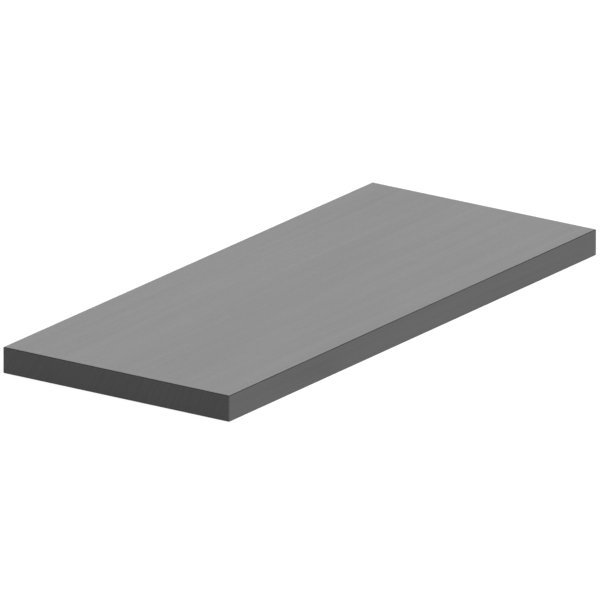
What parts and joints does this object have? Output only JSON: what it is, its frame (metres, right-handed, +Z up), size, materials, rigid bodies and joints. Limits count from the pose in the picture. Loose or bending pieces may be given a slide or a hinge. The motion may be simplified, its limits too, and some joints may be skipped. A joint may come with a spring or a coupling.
{
  "type": "metal flat bar",
  "caption": "Short length of plain rectangular steel flat bar, solid and undrilled, with crisp long edges and square sawn ends.",
  "frame": {"origin": "middle of the wide face that the bar lies on", "axes": "+X along the bar, +Y across its width, +Z up through its thickness"},
  "size_m": [0.19, 0.08, 0.008],
  "materials": {
    "steel": "plain mid-grey drawn steel, semi-matt, with fine grain along the bar and sawn ends, bare, with no rust"
  },
  "bodies": {
    "root": {"flat_bar": "steel"}
  },
  "joints": []
}
